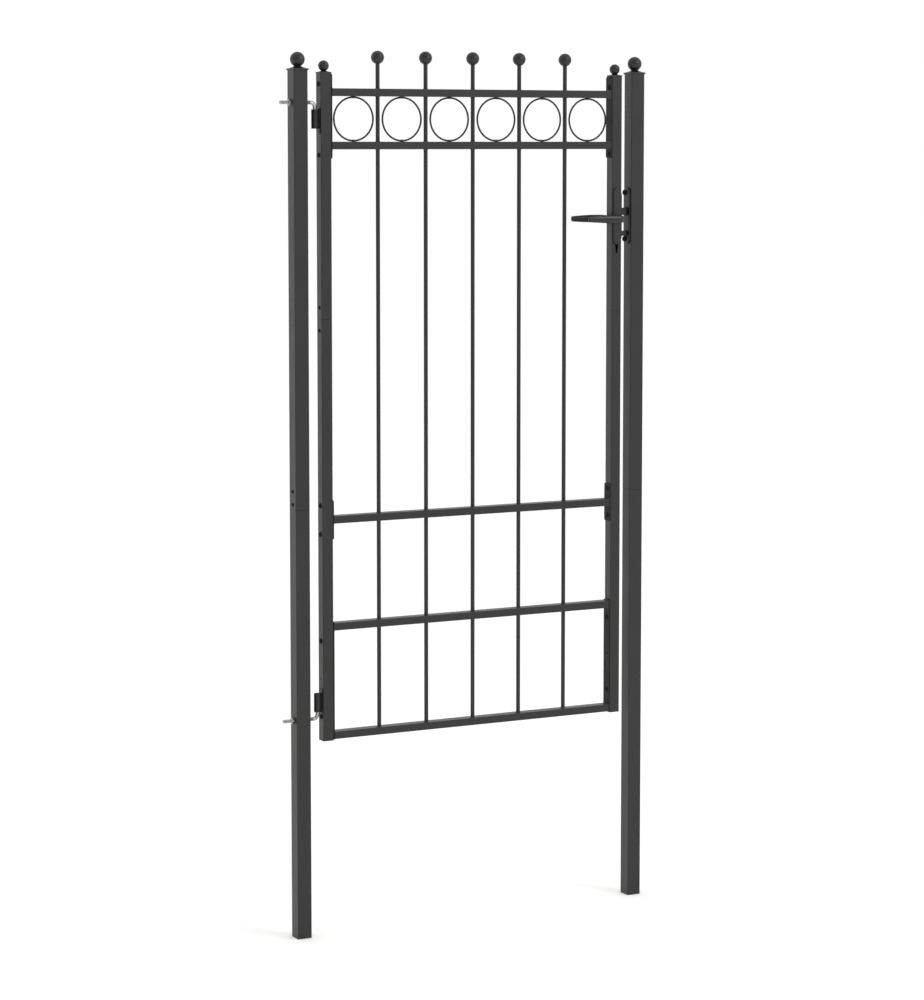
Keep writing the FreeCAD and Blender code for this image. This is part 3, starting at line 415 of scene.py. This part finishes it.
print("bars, balls, rings and welds made")


postCap = dict(ball=19.25 * mm, start=20.2 * mm, flare=3 * mm, rim=5 * mm, roof=8 * mm,
               ledge=1.5 * mm, seat=7.6 * mm)
stileCap = dict(ball=14 * mm, start=15.6 * mm, flare=0.6 * mm, rim=3 * mm, roof=4 * mm,
                ledge=2.4 * mm, seat=6.0 * mm)
capShape = dict(corner=0.8 * mm, edge=0.4 * mm, flareRows=5, roofRows=12, roofPower=1.7, roundPower=1.5,
                roundest=0.98, neck=0.8, middle=(0.1 * mm, 0.05 * mm))


def capPiece(name, node, tube, look, body):
    # square rings stacked from the tube's end to the ball's seat, and the ball on top
    cap, top = solidOf(node), solidOf(tube).high[2]
    x, y = solidOf(tube).middle[:2]
    half, corner, edge = cap.size[0] / 2, capShape["corner"], capShape["edge"]
    start, flare, seat = look["start"], look["flare"], look["seat"]
    # the flare widens as a quarter sine, then an upright rim with eased edges
    rows = [(top, *capShape["middle"]), (top, start - edge, corner)]
    rows += [(top + flare * k, start + (half - start) * math.sin(k * math.pi / 2), corner)
             for k in np.linspace(0, 1, capShape["flareRows"])]
    rim = top + look["rim"]
    rows += [(rim - edge, half, corner), (rim, half - edge, corner)]
    # the roof: a hollow curve, width = seat + (ledge - seat) * (1 - t) to a power, its corners rounding
    # into a circle as t to another power
    foot = half - look["ledge"]
    rows.append((rim, foot, corner))
    for k in np.linspace(0, 1, capShape["roofRows"]):
        width = seat + (foot - seat) * (1 - k) ** capShape["roofPower"]
        rounding = k ** capShape["roundPower"] * capShape["roundest"]
        rows.append((rim + look["roof"] * k, width, corner + (width - corner) * rounding))
    rows.append((rim + look["roof"], *capShape["middle"]))
    centre = cap.high[2] - look["ball"]
    ball = [tuple(row) for row in ballRows(look["ball"], seat * capShape["neck"])]
    ball.append((ball[-1][0], 0))
    surfaces = [squareStack(x, y, rows), turned((x, y, centre), (0, 0, 1), ball, ballLook["sides"])]
    makePiece(name, surfaces, coat, body, [node], sharp=50)


capPiece("hinge_post_cap_and_ball", "hinge_post_cap", "hinge_post_upper", postCap, "posts")
capPiece("latch_post_cap_and_ball", "latch_post_cap", "latch_post_upper", postCap, "posts")
capPiece("hinge_stile_cap_and_ball", "hinge_stile_cap", "hinge_stile_upper", stileCap, "leaf")
capPiece("latch_stile_cap_and_ball", "latch_stile_cap", "latch_stile_upper", stileCap, "leaf")
print("caps made")


hingeRod = dict(bend=12 * mm, radius=5 * mm, tip=1.2 * mm, pitch=1.5 * mm, depth=0.75 * mm,
                steep=1.3, crest=0.15, fadeTurns=2, sides=30, stepsPerPitch=6)
hexagonNut = dict(inBore=0.3 * mm, face=0.47, slope=1.7, chamfer=1.4 * mm, rows=6, sides=60)


def threadedRod(node, insert, barrel):
    # a bent rod: level, round a quarter bend, then upright into the barrel,
    # with a screw thread on its level run
    rod, r = solidOf(node), hingeRod["radius"]
    rodZ, pinX, bend = insert.middle[2], barrel.middle[0], hingeRod["bend"]
    rise = 1.0 if barrel.middle[2] > rodZ else -1.0
    tip = rod.high[2] if rise > 0 else rod.low[2]
    level = pinX - bend - rod.low[0]
    arc = bend * math.pi / 2
    length = level + arc + abs(tip - rodZ) - bend
    s = np.arange(0, length, hingeRod["pitch"] / hingeRod["stepsPerPitch"])
    turnBy = np.clip((s - level) / bend, 0, math.pi / 2)
    beyond = np.maximum(s - level - arc, 0)
    x = rod.low[0] + np.minimum(s, level) + bend * np.sin(turnBy)
    z = rodZ + rise * (bend * (1 - np.cos(turnBy)) + beyond)
    path = np.stack([x, np.zeros_like(s), z], axis=1)
    forward = np.stack([np.cos(turnBy), np.zeros_like(s), rise * np.sin(turnBy)], axis=1)
    across = np.tile([0.0, 1.0, 0.0], (len(s), 1))
    up = np.cross(forward, across)
    turn = np.arange(hingeRod["sides"]) * 2 * np.pi / hingeRod["sides"]
    # thread: a clipped triangle wave of distance / pitch less turn / full turn, cut below the outer radius
    phase = (s[:, None] / hingeRod["pitch"] - turn[None, :] / (2 * np.pi)) % 1.0
    tooth = np.clip(np.abs(2 * phase - 1) * hingeRod["steep"] - hingeRod["crest"], 0, 1)
    fade = np.clip((level - s) / (hingeRod["fadeTurns"] * hingeRod["pitch"]), 0, 1)
    radius = r - hingeRod["depth"] * tooth * fade[:, None]
    fromEnd = np.minimum(s, s[-1] - s)
    radius = np.minimum(radius, r - hingeRod["tip"] + fromEnd[:, None])
    return closedEnds(along(path, across, up, np.stack([radius, radius], axis=-1)))


def hexNut(box):
    # six flats, both faces chamfered by a cone: the smaller of the hexagon and face radius + slope * depth
    flats, height, bore = box.size[2], box.size[0], hingeRod["radius"] - hexagonNut["inBore"]
    corner, face, chamfer = flats / math.sqrt(3), flats * hexagonNut["face"], hexagonNut["chamfer"]
    sides, rows = hexagonNut["sides"], hexagonNut["rows"]
    turn = np.arange(sides) * 2 * np.pi / sides
    hexagon = corner * math.cos(math.pi / 6) / np.cos(turn % (math.pi / 3) - math.pi / 6)
    slant = np.linspace(0, chamfer, rows)
    depth = np.concatenate([[0.0], slant, height - slant[::-1], [height]])
    cone = face + hexagonNut["slope"] * np.minimum(depth, height - depth)
    radius = np.minimum(hexagon[None, :], cone[:, None])
    radius[0], radius[-1] = bore, bore
    ring = np.stack([np.zeros(sides), np.cos(turn), np.sin(turn)], axis=1)
    start = np.array([box.low[0], box.middle[1], box.middle[2]])
    grid = start + depth[:, None, None] * np.array([1.0, 0, 0]) + radius[..., None] * ring[None]
    return grid, True


inserts = sorted(solidsOf("hinge_rod_inserts"), key=lambda s: s.middle[2])
nuts = sorted(solidsOf("hinge_rod_nuts"), key=lambda s: s.middle[2])
lowerBarrel, upperBarrel = solidOf("lower_hinge_barrel"), solidOf("upper_hinge_barrel")
makePiece("threaded_rod_lower", [threadedRod("lower_hinge_rod", inserts[0], lowerBarrel)], zinc, "posts",
          ["lower_hinge_rod"], 60)
makePiece("threaded_rod_upper", [threadedRod("upper_hinge_rod", inserts[1], upperBarrel)], zinc, "posts",
          ["upper_hinge_rod"], 60)
makePiece("rod_nuts", [hexNut(nut) for nut in nuts], zinc, "posts", ["hinge_rod_nuts"], 25)

insertLook = dict(flange=1.2 * mm, body=6.75 * mm, edge=0.3 * mm, play=0.05 * mm, sides=48)
surfaces = []
for insert in inserts:
    outer, bore, length = insert.size[2] / 2, hingeRod["radius"] + insertLook["play"], insert.size[0]
    rim, edge = length - insertLook["flange"], insertLook["edge"]
    profile = [(0, bore), (0, insertLook["body"]), (rim, insertLook["body"]), (rim, outer),
               (length - edge, outer), (length, outer - edge), (length, bore + edge), (length - edge, bore)]
    start = (insert.low[0], 0, insert.middle[2])
    surfaces.append(turned(start, (1, 0, 0), profile, insertLook["sides"], True))
makePiece("rod_inserts", surfaces, zinc, "posts", ["hinge_rod_inserts"], 25)

barrelLook = dict(edge=0.8 * mm, bore=5.05 * mm, sides=48)
barrelWeld = dict(size=2.0 * mm, reach=0.9, notch=1.3 * mm, ripple=0.14, endPower=10, thinnest=0.02,
                  rows=110, sides=12)
plates = sorted(solidsOf("hinge_weld_plates"), key=lambda s: s.middle[2])
for name, barrel, plate in (("lower", lowerBarrel, plates[0]), ("upper", upperBarrel, plates[1])):
    r, length, edge, bore = barrel.size[0] / 2, barrel.size[2], barrelLook["edge"], barrelLook["bore"]
    profile = [(0, bore), (0, r - edge), (edge, r), (length / 2, r), (length - edge, r), (length, r - edge),
               (length, bore + edge / 2), (length - edge / 2, bore), (edge / 2, bore)]
    start = (barrel.middle[0], 0, barrel.low[2])
    makePiece(name + "_barrel", [turned(start, (0, 0, 1), profile, barrelLook["sides"], True)], coat, "leaf",
              [name + "_hinge_barrel"], sharp=30)
    # two upright beads fill the notches between the barrel and its plate: size * ripple,
    # times the root of 1 - (distance / half length) to a power, which rounds off the ends
    notch = plate.low[0] - barrelWeld["notch"]
    aside = math.sqrt(r ** 2 - (notch - barrel.middle[0]) ** 2)
    half, rows = barrelWeld["reach"] * length / 2, barrelWeld["rows"]
    s = np.linspace(-half, half, rows)
    swell = barrelWeld["size"] * (1 + barrelWeld["ripple"] * np.cos(2 * np.pi * s / weldBead["pitch"]))
    swell *= np.sqrt(np.clip(1 - (s / half) ** barrelWeld["endPower"], barrelWeld["thinnest"], 1))
    radii = np.repeat(swell[:, None], barrelWeld["sides"], axis=1)
    across, up = (np.tile(way, (rows, 1)) for way in ((1.0, 0, 0), (0, 1.0, 0)))
    surfaces = []
    for y in (-aside, aside):
        path = np.stack([np.full(rows, notch), np.full(rows, y), barrel.middle[2] + s], axis=1)
        surfaces.append(closedEnds(along(path, across, up, np.stack([radii, radii], axis=-1))))
    makePiece(name + "_barrel_welds", surfaces, coat, "leaf", sharp=80)
print("hinges made")


# every head: sizes are shares of its radius or height, except the chamfer and the edge
buttonHead = dict(chamfer=0.5 * mm, edge=0.2 * mm, wall=0.25, flatRim=1.12, domeFrom=0.12, rows=9, power=0.45,
                  countersink=1.04, socket=0.4, socketDepth=0.6, sides=48)


def socketHead(solid, axis, look):
    # a button head with a hexagon socket, and its shank:
    # height = head * (wall + rest * (1 - (radius / outside) cubed) to a power)
    axis = np.array(axis, float)
    high = float(np.max(np.abs(axis) * solid.size))
    outside = float(np.max(np.where(axis == 0, solid.size, 0))) / 2
    head, shank, socket = look["head"], look["shank"], outside * 2 * buttonHead["socket"] / math.sqrt(3)
    base = solid.middle + axis * (high / 2 - head)
    length, chamfer, edge, wall = high - head, buttonHead["chamfer"], buttonHead["edge"], buttonHead["wall"]
    rows = [(-length, 0), (-length, shank - chamfer), (-length + chamfer, shank), (0, shank),
            (0, outside - edge), (edge, outside), (head * wall, outside)]
    for k in np.linspace(buttonHead["domeFrom"], 1, buttonHead["rows"]):
        out = outside - (outside - socket * buttonHead["flatRim"]) * k
        domed = (1 - (out / outside) ** 3) ** buttonHead["power"]
        rows.append((head * (wall + (1 - wall) * domed), out))
    top = rows[-1][0]
    floor = top - head * buttonHead["socketDepth"]
    rows += [(top, socket * buttonHead["countersink"], 1.0), (top - edge, socket, 1.0), (floor, socket, 1.0),
             (floor, 0, 1.0)]
    return turned(base, axis, rows, buttonHead["sides"])


def axisOf(solid, facing):
    # a facing is "out" or "in", from the gate's middle or towards it, or the axis itself
    side = math.copysign(1.0, solid.middle[0])
    return {"out": (side, 0, 0), "in": (-side, 0, 0)}.get(facing, facing)


frameBolt = dict(head=3 * mm, shank=3 * mm)
capNut = dict(head=3 * mm, shank=4 * mm)
jointScrew = dict(head=2.5 * mm, shank=2.5 * mm)
keeperScrew = dict(head=6 * mm, shank=3 * mm)
for name, node, facing, look, body in (
        ("stile_bolts", "frame_bolts", "out", frameBolt, "leaf"),
        ("plate_cap_nuts", "frame_cap_nuts", "in", capNut, "leaf"),
        ("post_seam_screws", "post_joint_screws", "out", jointScrew, "posts"),
        ("stile_seam_screws", "stile_joint_screws", "out", jointScrew, "leaf"),
        ("lock_cover_screws", "cover_screws", (0, 1, 0), jointScrew, "leaf"),
        ("keeper_bosses", "keeper_screws", (-1, 0, 0), keeperScrew, "posts")):
    made = [socketHead(solid, axisOf(solid, facing), look) for solid in solidsOf(node)]
    makePiece(name, made, blackPaint, body, [node], sharp=28)
print("screws and bolts made")


lever = dict(neck=9 * mm, stand=36 * mm, face=15 * mm, elbow=13 * mm, length=107 * mm, tipRound=3 * mm,
             setBack=3.5 * mm, setBackFrom=30 * mm, setBackPower=1.8,
             stations=(0.0, 30.0, 55.0, 80.0, 107.0), halfHeights=(10.2, 10.6, 10.2, 8.9, 7.2),
             halfDepths=(8.0, 7.6, 7.0, 6.2, 5.0), squareness=0.2, neckShare=0.5,
             hollow=4.0 * mm, hollowFrom=30 * mm, hollowTo=101 * mm, hollowRamp=2 * mm,
             hollowWidth=0.66, hollowEdge=0.10, rows=170, crowding=1.25, sides=64)


def leverPiece(name, node, spindle, front):
    # a profile carried out of the cover, round an elbow and along the grip, then closed by a rounded tip:
    # path + depth * cos turn * across + height * sin turn * up
    box, bend = solidOf(node), lever["elbow"]
    middleY = lever["face"] + lever["stand"]
    neckY = abs(box.high[1] if front < 0 else box.low[1])
    out = middleY - neckY - bend
    arc = bend * math.pi / 2
    total = out + arc + lever["length"] - bend
    s = total * (1 - (1 - np.linspace(0, 1, lever["rows"])) ** lever["crowding"])
    turnBy = np.clip((s - out) / bend, 0, math.pi / 2)
    reach = bend * (1 - np.cos(turnBy)) + np.maximum(s - out - arc, 0)
    # the grip leans back towards the gate: set back * (share of the way to the tip) to a power
    onGrip = (reach - lever["setBackFrom"]) / (lever["length"] - lever["setBackFrom"])
    back = lever["setBack"] * np.clip(onGrip, 0, 1) ** lever["setBackPower"]
    y = neckY + np.minimum(s, out) + bend * np.sin(turnBy) - back
    path = np.stack([spindle[0] - reach, front * y, np.full_like(s, spindle[2])], axis=1)
    forward = np.stack([-np.sin(turnBy), front * np.cos(turnBy), np.zeros_like(s)], axis=1)
    up = np.tile([0.0, 0.0, 1.0], (len(s), 1))
    across = np.cross(forward, up)
    # the round neck goes over to the grip's section as 3 t squared - 2 t cubed
    neckEnd = out * lever["neckShare"]
    toGrip = np.clip((s - neckEnd) / (out - neckEnd + arc), 0, 1)
    toGrip = toGrip ** 2 * (3 - 2 * toGrip)
    high = smoothThrough(reach / mm, lever["stations"], lever["halfHeights"]) * mm
    deep = smoothThrough(reach / mm, lever["stations"], lever["halfDepths"]) * mm
    high = lever["neck"] * (1 - toGrip) + high * toGrip
    deep = lever["neck"] * (1 - toGrip) + deep * toGrip
    fromTip = np.clip((total - s) / lever["tipRound"], 0, 1)
    tip = np.sqrt(1 - (1 - fromTip) ** 2)
    # the section is a squarish oval: cosine and sine raised to the power 1 - squareness
    turn = np.arange(lever["sides"]) * 2 * np.pi / lever["sides"]
    power = (1 - lever["squareness"] * toGrip)[:, None]
    cos = np.sign(np.cos(turn)) * np.abs(np.cos(turn)) ** power
    sin = np.sign(np.sin(turn)) * np.abs(np.sin(turn)) ** power
    # the side towards the gate is hollow cast: a channel, ramped at its edges and at both ends
    channel = np.clip((lever["hollowWidth"] - np.abs(sin)) / lever["hollowEdge"], 0, 1) * (-front * cos > 0)
    fromEnds = np.minimum(reach - lever["hollowFrom"], lever["hollowTo"] - reach)
    inside = np.clip(fromEnds / lever["hollowRamp"], 0, 1)[:, None]
    depth = (deep * tip)[:, None] * cos + front * lever["hollow"] * channel * inside
    grid = path[:, None, :] + depth[..., None] * across[:, None, :]
    grid = grid + (high * tip)[:, None, None] * sin[..., None] * up[:, None, :]
    makePiece(name, [closedEnds((grid, False))], castCoat, "lever", [node], sharp=70)


spindle = solidOf("lever_spindle").middle
leverPiece("front_lever_handle", "front_lever", spindle, -1.0)
leverPiece("back_lever_handle", "back_lever", spindle, 1.0)
print("levers made")


studio = dict(floor="#f4f4f2", floorRoughness=0.9, floorGlow=0.2, floorHalf=60.0,
              sky="#ffffff", skyStrength=1.005, nearStrength=0.55, nearSide=(-0.6, -0.8, 0.0),
              dimFrom=0.2, dimTo=1.0)
softBox = dict(place=(2.6, -4.2, 4.6), aim=(0.0, 0.0, 1.3), size=(2.2, 2.2), power=70.0)

floorMesh = bpy.data.meshes.new("pale_floor")
half = studio["floorHalf"]
corners = [(-half, -half, 0), (half, -half, 0), (half, half, 0), (-half, half, 0)]
floorMesh.from_pydata(corners, [], [(0, 1, 2, 3)])
floor = bpy.data.objects.new("pale_floor", floorMesh)
bpy.context.scene.collection.objects.link(floor)
floorPaint, tree = newMaterial("palePaintedFloor")
# a light table: matt and pale, and lit a little from below so that it shades off into the backdrop
shader = addNode(tree, "ShaderNodeBsdfPrincipled",
                 {"Base Color": linearOf(studio["floor"]), "Roughness": studio["floorRoughness"],
                  "Emission Color": linearOf(studio["floor"]), "Emission Strength": studio["floorGlow"]})
addNode(tree, "ShaderNodeOutputMaterial", links={"Surface": shader.outputs["BSDF"]})
floorMesh.materials.append(floorPaint)

world = bpy.data.worlds.new("studioSky")
world.use_nodes = True
bpy.context.scene.world = world
tree = world.node_tree
sky = tree.nodes["Background"]
sky.inputs["Color"].default_value = linearOf(studio["sky"])
# white all round, dimmer on the near left side, as the open side of a studio cove is
outlook = addNode(tree, "ShaderNodeTexCoord").outputs["Generated"]
facing = addNode(tree, "ShaderNodeVectorMath", {"operation": "DOT_PRODUCT", 1: studio["nearSide"]},
                 {0: outlook})
dimming = addNode(tree, "ShaderNodeMapRange",
                  {"From Min": studio["dimFrom"], "From Max": studio["dimTo"],
                   "To Min": studio["skyStrength"], "To Max": studio["nearStrength"]},
                  {"Value": facing.outputs["Value"]})
# the backdrop itself stays plain white in every view
seen = addNode(tree, "ShaderNodeLightPath").outputs["Is Camera Ray"]
strength = addNode(tree, "ShaderNodeMix", {"data_type": "FLOAT", 3: studio["skyStrength"]},
                   {0: seen, 2: dimming.outputs["Result"]})
tree.links.new(strength.outputs[0], sky.inputs["Strength"])


def aimedAt(place, target):
    return (Vector(target) - Vector(place)).to_track_quat("-Z", "Y").to_euler()


light = bpy.data.lights.new("soft_box", "AREA")
light.shape = "RECTANGLE"
light.size, light.size_y = softBox["size"]
light.energy = softBox["power"]
lamp = bpy.data.objects.new("soft_box", light)
lamp.location = softBox["place"]
lamp.rotation_euler = aimedAt(softBox["place"], softBox["aim"])
bpy.context.scene.collection.objects.link(lamp)

# the eye stands at about the height of the top rail, to the hinge side
eye = dict(place=(-3.6767, -7.0518, 2.0988), turn=27.4576, down=5.4364, lens=107.13, shift=-0.075)
cameraData = bpy.data.cameras.new("camera")
cameraData.lens = eye["lens"]
cameraData.shift_y = eye["shift"]
camera = bpy.data.objects.new("camera", cameraData)
camera.location = eye["place"]
camera.rotation_euler = (math.radians(90 - eye["down"]), 0, -math.radians(eye["turn"]))
bpy.context.scene.collection.objects.link(camera)
bpy.context.scene.camera = camera
bpy.context.scene.view_settings.view_transform = "Standard"
print("floor, light and camera set")
